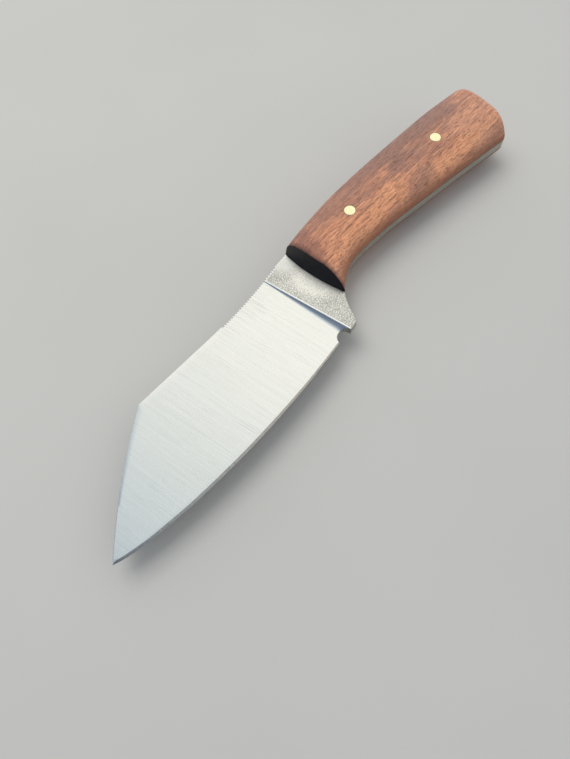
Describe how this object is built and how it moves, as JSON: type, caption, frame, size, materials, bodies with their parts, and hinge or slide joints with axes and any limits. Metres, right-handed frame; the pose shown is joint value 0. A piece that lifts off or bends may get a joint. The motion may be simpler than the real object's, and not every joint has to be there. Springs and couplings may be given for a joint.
{
  "type": "full-tang fixed-blade knife",
  "caption": "Full-tang fixed-blade knife with a wide clipped blade, a choil notch, thumb jimping on the spine and wooden handle scales held by brass pins.",
  "frame": {"origin": "middle of the bottom of the bounding box, with the knife lying flat on its right scale", "axes": "+X along the knife from tip to butt, +Y from edge to spine, +Z out of the left face"},
  "size_m": [0.2084, 0.0484, 0.0186],
  "materials": {
    "steel": "satin belt finish",
    "wood": "oiled satin, reddish brown with dark pores",
    "brass": "filed flush and polished",
    "epoxy": "thin dark glue film"
  },
  "bodies": {
    "root": {"blade_and_tang": "steel", "left_scale": "wood", "right_scale": "wood", "front_pin": "brass", "rear_pin": "brass", "left_glue_line": "epoxy", "right_glue_line": "epoxy"}
  },
  "joints": []
}
